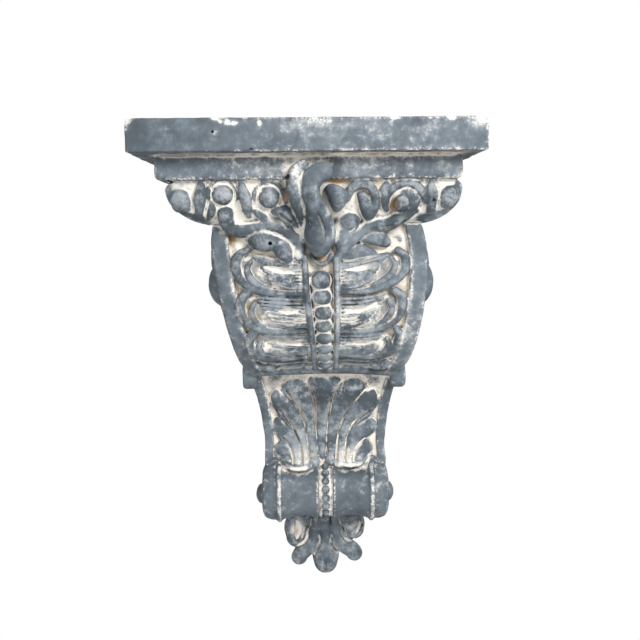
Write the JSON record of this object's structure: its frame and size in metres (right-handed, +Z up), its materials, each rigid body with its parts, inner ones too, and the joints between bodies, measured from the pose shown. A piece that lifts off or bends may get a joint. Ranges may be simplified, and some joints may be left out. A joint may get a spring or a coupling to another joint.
{
  "type": "wall corbel bracket",
  "caption": "Carved wall corbel: a scroll bracket with leaf ribs, bead strings, palmette and roll that carries a square shelf, in worn blue-grey paint over white gesso.",
  "frame": {"origin": "on the flat back face, on the axis of the scroll, 170 mm below the shelf top", "axes": "+X to the viewer's right, +Y into the wall, +Z up; the carved front faces -Y"},
  "size_m": [0.365, 0.2, 0.537],
  "materials": {
    "painted_wood": "matt blue-grey paint over white gesso, rubbed through at the edges, cream and amber in the hollows"
  },
  "bodies": {
    "root": {"corbel": "painted_wood"}
  },
  "joints": []
}
